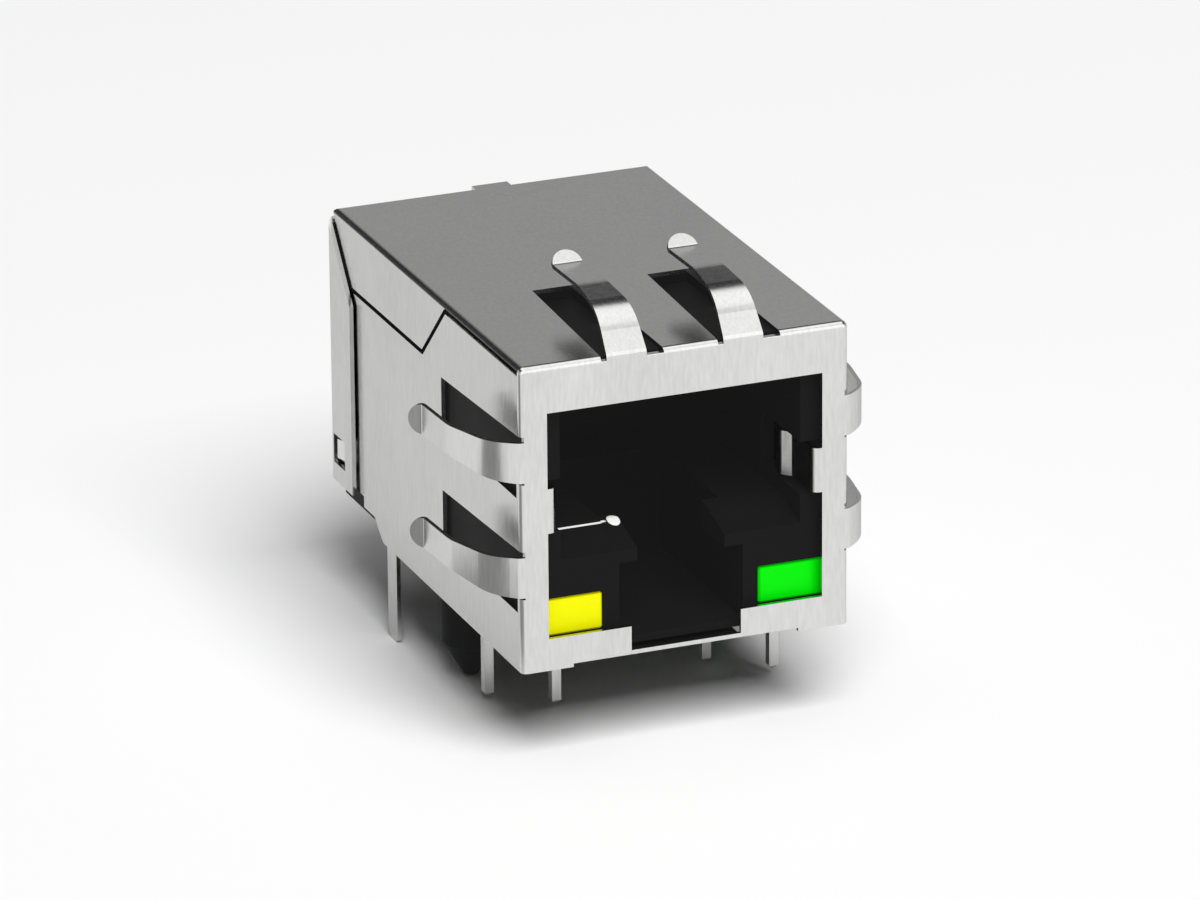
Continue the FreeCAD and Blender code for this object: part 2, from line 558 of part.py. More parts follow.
def make_shell():
    """Roof, side panels, front frame and back sheet, folded from one blank."""
    outer = block("shell_outer", (f"-{SIDE}", FRONT, SKIRT), (SIDE, REAR, ROOF))
    front = number(FRONT)
    roof = number(ROOF)
    outer_round = rounded(
        "shell_bends", outer, "Sizes.bend_outer",
        lambda edge: at(edge, 2, roof) or (along(edge, 2) and at(edge, 1, front)),
    )
    inner_front = f"{FRONT} + {WALL}"
    front_inside = number(inner_front)
    roof_inside = number(INNER_ROOF)
    inner = block(
        "shell_inner",
        (f"-{SIDE} + {WALL}", inner_front, f"{SKIRT} - {BEYOND}"),
        (f"{SIDE} - {WALL}", f"{REAR} - {WALL}", INNER_ROOF),
    )
    inner_round = rounded(
        "shell_inner_bends", inner, f"max(Sizes.bend_outer - {WALL}; Sizes.bend_inner_least)",
        lambda edge: at(edge, 2, roof_inside) or (along(edge, 2) and at(edge, 1, front_inside)),
    )
    past_front = f"{FRONT} - {BEYOND}"
    behind_frame = f"{FRONT} + {WALL} + Sizes.fit_gap"
    mouth_side = f"({SIDE} - Sizes.frame_side_bar)"
    mouth = block(
        "mouth",
        (f"-{mouth_side}", past_front, f"{BASE} + Sizes.frame_bottom_bar"),
        (mouth_side, behind_frame, f"{ROOF} - Sizes.frame_top_bar"),
    )
    latch_gap = block(
        "latch_gap",
        ("-Sizes.latch_gap_width / 2", past_front, f"{BASE} + {WALL}"),
        ("Sizes.latch_gap_width / 2", behind_frame, f"{BASE} + Sizes.frame_bottom_bar + Sizes.fit_gap"),
    )
    raised_foot = block(
        "raised_foot",
        (f"-{SIDE} + Sizes.skirt_corner", past_front, f"{SKIRT} - {BEYOND}"),
        (f"{SIDE} - Sizes.skirt_corner", behind_frame, BASE),
    )
    in_sheet = f"{SIDE} - {WALL}"
    outside = f"({SIDE} + {BEYOND})"
    seam_level = f"{ROOF} - {WALL} - Sizes.seam_gap / 2"
    flap_foot = f"{ROOF} - Sizes.flap_height"
    seam = strip(
        "flap_seam", "YZ",
        [
            (from_front("Sizes.bend_outer"), seam_level),
            (from_front("Sizes.flap_front"), seam_level),
            (from_front("Sizes.flap_foot_front"), flap_foot),
            (f"{REAR} - Sizes.flap_foot_rear", flap_foot),
            door_slope(f"-{WALL}"),
        ],
        ["Sizes.seam_corner"] * 3, "Sizes.seam_gap", in_sheet, outside,
    )
    panel_rear = f"{REAR} - {WALL} - Sizes.seam_gap"
    corner = prism(
        "door_corner_gap", "YZ",
        [
            door_slope("Sizes.flap_foot_rear"),
            (panel_rear, flap_foot),
            (panel_rear, f"{SKIRT} - {BEYOND}"),
            (f"{REAR} + {BEYOND}", f"{SKIRT} - {BEYOND}"),
            door_slope(f"-{BEYOND}"),
        ],
        in_sheet, outside,
    )
    cut_top = f"{BASE} + Sizes.panel_cut_height"
    cut_front = from_front("Sizes.board_tab_front + Sizes.board_tab_width + Sizes.panel_cut_gap")
    cut_rear = f"{cut_front} + Sizes.panel_cut_length"
    notch_front = f"{cut_rear} + Sizes.panel_notch_gap"
    notch_top = f"{BASE} + Sizes.panel_notch_height"
    foot_cut = prism(
        "panel_foot_cut", "YZ",
        [
            (cut_front, SKIRT),
            (cut_rear, cut_top),
            (notch_front, cut_top),
            (notch_front, notch_top),
            (f"{REAR} + {BEYOND}", notch_top),
            (f"{REAR} + {BEYOND}", f"{SKIRT} - {BEYOND}"),
            (cut_front, f"{SKIRT} - {BEYOND}"),
        ],
        f"-{outside}", outside,
    )
    tools = [inner_round, mouth, latch_gap, raised_foot, foot_cut]
    tools += both_sides(seam) + both_sides(corner) + make_windows()
    return without("shell_sheet", outer_round, *tools)


def make_rear_door():
    """Back sheet with its two flanges, which wrap round the outside of the side panels."""
    offset = f"({SIDE} + Sizes.door_gap)"
    wide = f"({offset} + {WALL})"
    foot = f"{BASE} + Sizes.door_lift"
    wrap = f"{REAR} - Sizes.door_wrap"
    top = f"{ROOF} - Sizes.bend_outer"
    outer = block("door_outer", (f"-{wide}", wrap, foot), (wide, REAR, top))
    rear = number(REAR)
    outer_round = rounded(
        "door_bends", outer, "Sizes.bend_outer", lambda edge: along(edge, 2) and at(edge, 1, rear),
    )
    inner = block(
        "door_inner",
        (f"-{offset}", f"{wrap} - {BEYOND}", f"{foot} - {BEYOND}"),
        (offset, f"{REAR} - {WALL}", f"{top} + {BEYOND}"),
    )
    mitre = prism(
        "door_mitre", "YZ",
        [
            door_slope(f"Sizes.door_wrap + {BEYOND}", "Sizes.mitre_gap"),
            door_slope(f"-{BEYOND}", "Sizes.mitre_gap"),
            (f"{REAR} + {BEYOND}", f"{ROOF} + {BEYOND}"),
            (f"{wrap} - {BEYOND}", f"{ROOF} + {BEYOND}"),
        ],
        f"{SIDE} - {WALL}", f"{wide} + {BEYOND}",
    )
    window_rear = f"{REAR} - Sizes.lock_window_inset"
    window_low = f"{BASE} + Sizes.lock_window_lift"
    window = block(
        "lock_window",
        (SIDE, f"{window_rear} - Sizes.lock_window_width", window_low),
        (f"{wide} + {BEYOND}", window_rear, f"{window_low} + Sizes.lock_window_height"),
    )
    return without("door_sheet", outer_round, inner, *both_sides(mitre), *both_sides(window))


def make_lock_barb():
    """Punched wedge on the side panel that holds the door's flange through its window."""
    rear = f"{REAR} - Sizes.lock_window_inset - Sizes.seam_gap"
    front = f"{REAR} - Sizes.lock_window_inset - Sizes.lock_window_width + Sizes.seam_gap"
    low = f"{BASE} + Sizes.lock_window_lift"
    inner = f"{SIDE} - {WALL} / 2"
    return prism(
        "lock_barb", "XY",
        [(inner, front), (f"{SIDE} + Sizes.door_gap + {WALL} / 2", rear), (inner, rear)],
        f"{low} + Sizes.seam_gap", f"{low} + Sizes.lock_window_height - Sizes.seam_gap",
    )


def make_board_tab():
    """Solder tab that runs down from the side panel's foot through the board."""
    front = from_front("Sizes.board_tab_front")
    rear = f"{front} + Sizes.board_tab_width"
    corner = "Sizes.board_tab_corner"
    tip = "-Sizes.board_tab_depth"
    shoulder = f"{tip} + {corner}"
    return prism(
        "board_tab", "YZ",
        [
            (front, f"{BASE} + {WALL}"), (front, shoulder), (f"{front} + {corner}", tip),
            (f"{rear} - {corner}", tip), (rear, shoulder), (rear, f"{BASE} + {WALL}"),
        ],
        f"{SIDE} - {WALL}", SIDE,
    )


def make_plug_tab():
    """Tab folded in from the mouth's edge, which touches the plug's own shield."""
    edge = f"{SIDE} - Sizes.frame_side_bar"
    middle = f"{WALL} / 2"
    low = f"{BASE} + Sizes.plug_tab_lift"
    leaf = f"{edge} - Sizes.plug_tab_root + {middle}"
    path = [
        (f"{edge} + Sizes.frame_side_bar / 2", from_front(middle)),
        (leaf, from_front(middle)),
        (leaf, from_front("Sizes.plug_tab_step")),
        (f"{edge} - Sizes.plug_tab_reach + {middle}", from_front("Sizes.plug_tab_crest")),
        (leaf, from_front("Sizes.plug_tab_length")),
    ]
    bends = ["Sizes.plug_tab_fold", "Sizes.plug_tab_bend", "Sizes.plug_tab_bend"]
    return strip("plug_tab", "XY", path, bends, "Sizes.finger_thick", low, f"{low} + Sizes.plug_tab_height")


def make_shield():
    tongue = block(
        "floor_tongue",
        ("-Sizes.tongue_width / 2", f"{FRONT} + {WALL} / 2", BASE),
        ("Sizes.tongue_width / 2", from_front("Sizes.tongue_length"), f"{BASE} + {WALL}"),
    )
    break_tab = block(
        "break_tab",
        ("-Sizes.break_tab_width / 2", f"{REAR} - Sizes.bend_outer", f"{ROOF} - {WALL}"),
        ("Sizes.break_tab_width / 2", f"{REAR} + Sizes.break_tab_reach", ROOF),
    )
    pieces = [make_shell(), make_rear_door(), tongue, break_tab]
    for piece in (make_lock_barb(), make_board_tab(), make_plug_tab()):
        pieces += both_sides(piece)
    shield = fused("shield_shell", *pieces, *make_fingers())
    shield.Label = "shield_shell"
    return shield


# Housing: moulded block with the plug cavity, the latch channel and the locating posts
def cavity_outline():
    """Plug cavity with the latch channel below it, seen from the front."""
    half = "Sizes.cavity_width / 2"
    channel = "Sizes.channel_width / 2"
    channel_low = "Sizes.housing_lift + Sizes.channel_floor"
    return [
        (f"-{half}", CAVITY_FLOOR), (f"-{channel}", CAVITY_FLOOR), (f"-{channel}", channel_low),
        (channel, channel_low), (channel, CAVITY_FLOOR), (half, CAVITY_FLOOR),
        (half, CAVITY_ROOF), (f"-{half}", CAVITY_ROOF),
    ]


def make_foot(body, name, spot, radius):
    """Round foot under the housing, on both sides, whose lower face meets the board."""
    sketch = body_sketch(body, "XY_Plane", f"{name}_outline", "0")
    x, y = spot
    centre = FreeCAD.Vector(number(x), number(y), 0)
    sketch.addGeometry(Part.Circle(centre, FreeCAD.Vector(0, 0, 1), number(radius)), False)
    for kind, expression in (("Radius", radius), ("DistanceX", x), ("DistanceY", y)):
        held = (0,) if kind == "Radius" else (-1, 1, 0, 3)
        index = sketch.addConstraint(Sketcher.Constraint(kind, *held, number(expression)))
        sketch.setExpression(f"Constraints[{index}]", expression)
    foot = pad(body, sketch, name, "Sizes.housing_lift + Sizes.fit_gap")
    mirror_feature(body, foot, f"{name}_pair")


def make_housing():
    body = new_body("housing")
    face = f"-{HOUSING_FRONT}"
    outline = body_sketch(body, "XZ_Plane", "housing_outline", face)
    bevel = "Sizes.housing_bevel"
    trace(outline, [
        (f"-{INNER_SIDE}", "Sizes.housing_lift"), (INNER_SIDE, "Sizes.housing_lift"),
        (INNER_SIDE, f"{INNER_ROOF} - {bevel}"), (f"{INNER_SIDE} - {bevel}", INNER_ROOF),
        (f"-{INNER_SIDE} + {bevel}", INNER_ROOF), (f"-{INNER_SIDE}", f"{INNER_ROOF} - {bevel}"),
    ])
    pad(body, outline, "housing_block", f"{HOUSING_REAR} - {HOUSING_FRONT}", backwards=True)

    channel = body_sketch(body, "XZ_Plane", "channel_outline", face)
    trace(channel, cavity_outline())
    pocket(body, channel, "cavity_front", "Sizes.channel_depth")
    plug = body_sketch(body, "XZ_Plane", "plug_outline", face)
    half = "Sizes.cavity_width / 2"
    trace(plug, rectangle(f"-{half}", CAVITY_FLOOR, half, CAVITY_ROOF))
    pocket(body, plug, "cavity_rear", "Sizes.cavity_depth")

    ramp = body_sketch(body, "YZ_Plane", "ramp_outline", f"-{half}")
    low = f"{CAVITY_FLOOR} - Sizes.ramp_drop"
    ramp_rear = f"{HOUSING_FRONT} + Sizes.ramp_length"
    trace(ramp, [
        (f"{HOUSING_FRONT} - Sizes.fit_gap", low), (HOUSING_FRONT, low),
        (ramp_rear, CAVITY_FLOOR), (f"{HOUSING_FRONT} - Sizes.fit_gap", CAVITY_FLOOR),
    ])
    pocket(body, ramp, "ramp", "Sizes.cavity_width", backwards=True)

    stop = body_sketch(body, "YZ_Plane", "stop_outline", "Sizes.channel_width / 2 - Sizes.stop_width")
    stop_foot = f"{CAVITY_FLOOR} - Sizes.stop_height"
    stop_rear = f"{HOUSING_FRONT} + Sizes.stop_length"
    trace(stop, [
        (HOUSING_FRONT, stop_foot), (stop_rear, stop_foot), (stop_rear, CAVITY_FLOOR),
        (f"{stop_rear} - Sizes.stop_width / 2", CAVITY_FLOOR), (HOUSING_FRONT, low),
    ])
    mirror_feature(body, pad(body, stop, "latch_stop", "Sizes.stop_width"), "latch_stops")

    tab = body_sketch(body, "XZ_Plane", "tab_room_outline", face)
    tab_low = f"{BASE} + Sizes.plug_tab_lift - Sizes.tab_clearance"
    tab_high = f"{BASE} + Sizes.plug_tab_lift + Sizes.plug_tab_height + Sizes.tab_clearance"
    tab_side = f"{SIDE} - Sizes.frame_side_bar + Sizes.tab_clearance"
    trace(tab, rectangle(f"{half} - Sizes.fit_gap", tab_low, tab_side, tab_high))
    mirror_feature(body, pocket(body, tab, "tab_room", "Sizes.plug_tab_length"), "tab_rooms")

    lamp = body_sketch(body, "XZ_Plane", "lamp_room_outline", face)
    gap = "Sizes.lamp_gap"
    lamp_low = f"{LAMP_FLOOR} - {gap}"
    lamp_high = f"{LAMP_FLOOR} + Sizes.lamp_height + {gap}"
    trace(lamp, rectangle(f"{LAMP_INNER} - {gap}", lamp_low, f"{LAMP_OUTER} + {gap}", lamp_high))
    lamp_room = pocket(body, lamp, "lamp_room", f"Sizes.lamp_length + 2 * {gap}")
    mirror_feature(body, lamp_room, "lamp_rooms")
    lead = body_sketch(body, "XY_Plane", "lead_room_outline", "Sizes.housing_lift")
    lead_rear = from_front("Sizes.rear_lead + Sizes.lead_width")
    trace(lead, rectangle(f"{LAMP_INNER} - {gap}", LAMP_REAR, f"{LAMP_OUTER} + {gap}", lead_rear))
    lead_room = pocket(body, lead, "lead_room", f"{lamp_high} - Sizes.housing_lift", backwards=True)
    mirror_feature(body, lead_room, "lead_rooms")

    first = f"-Sizes.contact_pitch * {CONTACT_COUNT - 1} / 2"
    slot = body_sketch(body, "XZ_Plane", "slot_outline", f"-({HOUSING_FRONT} + Sizes.slot_front)")
    slot_half = "Sizes.slot_width / 2"
    slot_low = f"{CAVITY_ROOF} - Sizes.fit_gap"
    slot_high = f"{CAVITY_ROOF} + Sizes.slot_height"
    trace(slot, rectangle(f"{first} - {slot_half}", slot_low, f"{first} + {slot_half}", slot_high))
    slot_length = "Sizes.cavity_depth - Sizes.slot_front + Sizes.fit_gap"
    contact_slot = pocket(body, slot, "contact_slot", slot_length)
    repeat_feature(body, contact_slot, "contact_slots", "Sizes.contact_pitch", CONTACT_COUNT)

    comb = body_sketch(body, "XZ_Plane", "comb_outline", f"-{CAVITY_REAR} + Sizes.comb_length")
    rib = f"{first} - Sizes.contact_pitch / 2"
    rib_half = "Sizes.comb_rib / 2"
    rib_low = f"{CAVITY_ROOF} - Sizes.comb_height"
    trace(comb, rectangle(f"{rib} - {rib_half}", rib_low, f"{rib} + {rib_half}", CAVITY_ROOF))
    comb_rib = pad(body, comb, "comb_rib", "Sizes.comb_length", backwards=True)
    repeat_feature(body, comb_rib, "comb_ribs", "Sizes.contact_pitch", CONTACT_COUNT + 1)

    carrier = body_sketch(body, "XZ_Plane", "carrier_room_outline", f"-{HOUSING_REAR}")
    carrier_half = "Sizes.carrier_width / 2 + Sizes.slip"
    carrier_low = f"{WIRE_LEVEL} - Sizes.carrier_height / 2"
    trace(carrier, rectangle(
        f"-({carrier_half})", f"{carrier_low} - Sizes.slip",
        carrier_half, f"{carrier_low} + Sizes.carrier_height / 2 + Sizes.relief_depth",
    ))
    pocket(body, carrier, "carrier_room", f"{HOUSING_REAR} - {CAVITY_REAR} + Sizes.slip", backwards=True)

    relief = body_sketch(body, "XY_Plane", "roof_relief_outline", INNER_ROOF)
    relief_front = from_front("Sizes.roof_window_rear / 2")
    relief_rear = from_front("Sizes.roof_window_rear")
    relief_left = "Sizes.roof_finger_spacing / 2 - Sizes.window_near"
    relief_right = "Sizes.roof_finger_spacing / 2 + Sizes.window_near"
    trace(relief, rectangle(relief_left, relief_front, relief_right, relief_rear))
    mirror_feature(body, pocket(body, relief, "roof_relief", "Sizes.relief_depth"), "roof_reliefs")

    post = body_sketch(body, "XZ_Plane", "post_outline", "0")
    axis = "Sizes.post_spacing / 2"
    rim = f"{axis} + Sizes.post_radius"
    point = "-Sizes.post_depth"
    trace(post, [
        (axis, "0"), (rim, "0"), (rim, "-Sizes.post_straight"),
        (f"{axis} + Sizes.post_tip_radius", point), (axis, point),
    ])
    boss_spot = (f"{INNER_SIDE} - Sizes.boss_radius", "0")
    make_foot(body, "boss", boss_spot, "Sizes.boss_radius")
    turned = body.newObject("PartDesign::Revolution", "post")
    turned.Profile = post
    turned.ReferenceAxis = (post, ["Edge5"])
    turned.Angle = 360
    doc.recompute()
    mirror_feature(body, turned, "posts")

    foot_spot = (f"{INNER_SIDE} - Sizes.foot_inset", f"{HOUSING_FRONT} + Sizes.foot_inset")
    make_foot(body, "foot", foot_spot, "Sizes.foot_radius")
    return body


# Contact carrier and its eight wires
def make_carrier():
    body = new_body("contact_carrier")
    half = "Sizes.carrier_width / 2"
    low = f"{WIRE_LEVEL} - Sizes.carrier_height / 2"
    high = f"{WIRE_LEVEL} + Sizes.relief_depth"
    block_outline = body_sketch(body, "XZ_Plane", "carrier_outline", f"-{CARRIER_FRONT}")
    trace(block_outline, rectangle(f"-{half}", low, half, high))
    length = f"{HOUSING_REAR} - {CARRIER_FRONT}"
    pad(body, block_outline, "carrier_block", length, backwards=True)
    hole = body_sketch(body, "XZ_Plane", "wire_hole_outline", f"-{CARRIER_FRONT}")
    first = f"-Sizes.contact_pitch * {CONTACT_COUNT - 1} / 2"
    wide = "Sizes.contact_width / 2 + Sizes.slip"
    tall = "Sizes.contact_thick / 2 + Sizes.slip"
    trace(hole, rectangle(
        f"{first} - ({wide})", f"{WIRE_LEVEL} - ({tall})", f"{first} + {wide}", f"{WIRE_LEVEL} + {tall}",
    ))
    wire_hole = pocket(body, hole, "wire_hole", length)
    repeat_feature(body, wire_hole, "wire_holes", "Sizes.contact_pitch", CONTACT_COUNT)
    return body


def make_contact(index):
    """One contact wire: tail through the board, a hairpin at the mouth, then a slanted free end."""
    body = new_body(f"contact_{index + 1}")
    left = f"Sizes.contact_pitch * {index - (CONTACT_COUNT - 1) / 2} - Sizes.contact_width / 2"
    sketch = body_sketch(body, "YZ_Plane", f"contact_{index + 1}_path", left)
    mouth = from_front("Sizes.contact_mouth")
    path = [
        (f"{BOARD_REAR} + Sizes.contact_tail", WIRE_LEVEL),
        (mouth, WIRE_LEVEL),
        (mouth, f"{CAVITY_ROOF} - Sizes.contact_thick / 2"),
        (from_front("Sizes.contact_reach"), f"{CAVITY_ROOF} - Sizes.contact_dip"),
    ]
    places = [(number(x), number(y)) for x, y in path]
    bend = number("Sizes.contact_bend")
    sketch.addGeometry(strip_edges(places, [bend, bend], number("Sizes.contact_thick")), False)
    pad(body, sketch, f"contact_{index + 1}_wire", "Sizes.contact_width")
    return body


# Indicator lamps and their leads
def make_lamp(label, way):
    left, right = (LAMP_INNER, LAMP_OUTER) if way > 0 else (f"-{LAMP_OUTER}", f"-{LAMP_INNER}")
    top = f"{LAMP_FLOOR} + Sizes.lamp_height"
    lens = block(label + "_block", (left, LAMP_FRONT, LAMP_FLOOR), (right, LAMP_REAR, top))
    front = number(LAMP_FRONT)
    lamp = bevelled(label, lens, "Sizes.lamp_edge", lambda edge: at(edge, 1, front) or along(edge, 1))
    lamp.Label = label
    return lamp


def make_lamp_lead(label, way, right_hand):
    """Square lead that leaves the lamp's rear and bends down through the board."""
    middle = f"{way} * ({LAMP_OUTER} - Sizes.lamp_width / 2)"
    centre = f"({middle} {'+' if right_hand else '-'} Sizes.lead_pitch / 2)"
    reach = from_front("Sizes.front_lead" if right_hand else "Sizes.rear_lead")
    level = f"{LAMP_FLOOR} + Sizes.lamp_height / 2"
    path = [(LAMP_REAR, level), (reach, level), (reach, TIP)]
    start = f"{centre} - Sizes.lead_width / 2"
    end = f"{centre} + Sizes.lead_width / 2"
    lead = strip(label + "_strip", "YZ", path, ["Sizes.lead_bend"], "Sizes.lead_width", start, end)
    tip = number(TIP)
    pointed = bevelled(label, lead, "Sizes.pin_point", lambda edge: at(edge, 2, tip))
    pointed.Label = label
    return pointed


# Upright circuit board with the small parts on its rear face
def make_circuit_board():
    body = new_body("circuit_board")
    side = f"{INNER_SIDE} - Sizes.board_inset"
    outline = body_sketch(body, "XZ_Plane", "board_outline", f"-{HOUSING_REAR}")
    trace(outline, rectangle(f"-({side})", "Sizes.housing_lift", side, f"{INNER_ROOF} - Sizes.board_inset"))
    pad(body, outline, "board_plate", "Sizes.board_thick", backwards=True)
    hole = body_sketch(body, "XZ_Plane", "board_hole_outline", f"-{HOUSING_REAR}")
    first = f"-Sizes.contact_pitch * {CONTACT_COUNT - 1} / 2"
    wide = "Sizes.contact_width / 2 + Sizes.fit_gap"
    tall = "Sizes.contact_thick / 2 + Sizes.fit_gap"
    trace(hole, rectangle(
        f"{first} - ({wide})", f"{WIRE_LEVEL} - ({tall})", f"{first} + {wide}", f"{WIRE_LEVEL} + {tall}",
    ))
    board_hole = pocket(body, hole, "board_hole", "Sizes.board_thick")
    repeat_feature(body, board_hole, "board_holes", "Sizes.contact_pitch", CONTACT_COUNT)
    return body


def make_chip(index):
    centre = f"Sizes.chip_spacing * {index - (CHIP_COUNT - 1) / 2}"
    low, high = "Sizes.chip_lift - Sizes.chip_length / 2", "Sizes.chip_lift + Sizes.chip_length / 2"
    chip = block(
        f"resistor_{index + 1}",
        (f"{centre} - Sizes.chip_width / 2", BOARD_REAR, low),
        (f"{centre} + Sizes.chip_width / 2", f"{BOARD_REAR} + Sizes.chip_thick", high),
    )
    chip.Label = f"resistor_{index + 1}"
    return chip


def make_capacitor():
    half = "Sizes.capacitor_length / 2"
    low = "Sizes.capacitor_lift - Sizes.capacitor_width / 2"
    high = "Sizes.capacitor_lift + Sizes.capacitor_width / 2"
    capacitor = block(
        "capacitor", (f"-{half}", BOARD_REAR, low), (half, f"{BOARD_REAR} + Sizes.capacitor_thick", high),
    )
    capacitor.Label = "capacitor"
    return capacitor


# Filter case: tray behind the board, with the ring cores on its rear wall and the pins in its floor
def pin_spot(index):
    """Centre of a signal pin: the pins alternate between two rows."""
    x = f"Sizes.pin_pitch / 2 * {index - (PIN_COUNT - 1) / 2}"
    row = index % 2
    return x, f"({BOARD_REAR} + Sizes.pin_row_front + Sizes.pin_row_step * {row})"


def make_filter_case():
    body = new_body("filter_case")
    outline = body_sketch(body, "XY_Plane", "case_outline", "Sizes.housing_lift")
    trace(outline, rectangle(f"-{INNER_SIDE}", BOARD_REAR, INNER_SIDE, CASE_REAR))
    pad(body, outline, "case_block", f"{INNER_ROOF} - Sizes.case_drop - Sizes.housing_lift")
    room = body_sketch(body, "XY_Plane", "case_room_outline", CASE_FLOOR)
    inside = f"{INNER_SIDE} - Sizes.case_wall"
    room_rear = f"{CASE_REAR} - Sizes.case_wall"
    trace(room, rectangle(f"-({inside})", f"{BOARD_REAR} - Sizes.fit_gap", inside, room_rear))
    pocket(body, room, "case_room", INNER_ROOF, backwards=True)
    for row in range(2):
        x, y = pin_spot(row)
        half = "Sizes.lead_width / 2 + Sizes.slip"
        hole = body_sketch(body, "XY_Plane", f"pin_hole_outline_{row + 1}", "Sizes.housing_lift")
        trace(hole, rectangle(f"{x} - ({half})", f"{y} - ({half})", f"{x} + {half}", f"{y} + {half}"))
        pin_hole = pocket(body, hole, f"pin_hole_{row + 1}", "Sizes.case_floor", backwards=True)
        repeat_feature(body, pin_hole, f"pin_holes_{row + 1}", "Sizes.pin_pitch", PIN_COUNT // 2)
    return body


def make_signal_pin(index):
    x, y = pin_spot(index)
    half = "Sizes.lead_width / 2"
    label = f"signal_pin_{index + 1}"
    post = block(
        label + "_block",
        (f"{x} - {half}", f"{y} - {half}", TIP),
        (f"{x} + {half}", f"{y} + {half}", PIN_TOP),
    )
    tip = number(TIP)
    pin = bevelled(label, post, "Sizes.pin_point", lambda edge: at(edge, 2, tip))
    pin.Label = label
    return pin


def make_ring_core(label, way, row):
    """Wound ring core, seated on the rear wall of the filter case."""
    body = new_body(label)
    sketch = body_sketch(body, "XY_Plane", label + "_section", "0")
    front = f"{CASE_REAR} - Sizes.case_wall - Sizes.core_thick"
    trace(sketch, rectangle("Sizes.core_bore", front, "Sizes.core_radius", f"{front} + Sizes.core_thick"))
    ring = body.newObject("PartDesign::Revolution", label + "_ring")
    ring.Profile = sketch
    ring.ReferenceAxis = (sketch, ["V_Axis"])
    ring.Angle = 360
    doc.recompute()
    rims = [f"Edge{index}" for index, edge in enumerate(ring.Shape.Edges, start=1)
            if isinstance(edge.Curve, Part.Circle)]
    soft = body.newObject("PartDesign::Chamfer", label + "_bevel")
    soft.Base = (ring, rims)
    soft.setExpression("Size", "Sizes.core_bevel")
    doc.recompute()
    body.setExpression("Placement.Base.x", f"Sizes.core_spacing / 2 * {way}")
    lowest = f"{PIN_TOP} + Sizes.core_gap + Sizes.core_radius"
    body.setExpression("Placement.Base.z", f"{lowest} + Sizes.core_spacing * {row}")
    return body


pieces = [make_shield(), make_housing(), make_carrier()]
pieces += [make_contact(index) for index in range(CONTACT_COUNT)]
for side, way in SIDES:
    pieces.append(make_lamp(f"lamp_{side}", way))
    pieces.append(make_lamp_lead(f"lamp_{side}_outer_lead", way, way > 0))
    pieces.append(make_lamp_lead(f"lamp_{side}_inner_lead", way, way < 0))
pieces.append(make_circuit_board())
pieces += [make_chip(index) for index in range(CHIP_COUNT)]
pieces.append(make_capacitor())
pieces.append(make_filter_case())
pieces += [make_signal_pin(index) for index in range(PIN_COUNT)]
for row, kind in enumerate(("transformer", "choke")):
    pieces += [make_ring_core(f"{kind}_{side}", way, row) for side, way in SIDES]
doc.recompute()

for thing in doc.Objects:
    if any(state in ("Invalid", "Error") for state in thing.State):
        raise RuntimeError(f"{thing.Name} could not be built: {thing.State}")
for piece in pieces:
    if piece.Shape.isNull() or not piece.Shape.isValid() or len(piece.Shape.Solids) != 1:
        raise RuntimeError(f"{piece.Label} has no valid single solid: {len(piece.Shape.Solids)} solids")

os.makedirs("parts", exist_ok=True)
for piece in pieces:
    piece.Shape.exportStep(f"parts/{piece.Label}.step")
print(f"{len(pieces)} pieces written")
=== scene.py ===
import json
import math

import bmesh
import bpy
from mathutils import Matrix, Vector


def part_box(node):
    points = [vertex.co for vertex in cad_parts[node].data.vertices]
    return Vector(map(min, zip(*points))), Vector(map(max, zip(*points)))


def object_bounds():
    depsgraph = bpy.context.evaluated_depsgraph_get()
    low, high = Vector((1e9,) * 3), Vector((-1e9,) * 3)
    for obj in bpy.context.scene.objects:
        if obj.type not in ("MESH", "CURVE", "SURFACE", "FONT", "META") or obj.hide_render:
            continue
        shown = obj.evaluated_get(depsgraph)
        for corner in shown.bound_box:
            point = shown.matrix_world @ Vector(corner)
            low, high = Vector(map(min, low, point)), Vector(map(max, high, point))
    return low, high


# Board jack for a network cable, seen from its front left.
# Lengths are in metres. X runs to the right, Y from the mouth to the rear, Z up.

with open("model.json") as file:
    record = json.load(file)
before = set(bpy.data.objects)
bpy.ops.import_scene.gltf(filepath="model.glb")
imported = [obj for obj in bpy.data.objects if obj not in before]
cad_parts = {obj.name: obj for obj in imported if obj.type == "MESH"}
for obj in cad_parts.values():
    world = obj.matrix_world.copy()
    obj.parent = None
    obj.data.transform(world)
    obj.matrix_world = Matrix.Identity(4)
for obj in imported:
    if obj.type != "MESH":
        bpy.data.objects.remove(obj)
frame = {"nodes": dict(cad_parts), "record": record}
model_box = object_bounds()
MM = 0.001


def grey(tone):
    """An even, opaque grey."""
    return (tone, tone, tone, 1)


def middle(node):
    """The middle of a CAD node's box."""
    low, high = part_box(node)
    return (low + high) / 2


# Places of a Mix node's two colours and of its result
MIX_FIRST = 6
MIX_SECOND = 7
MIX_RESULT = 2


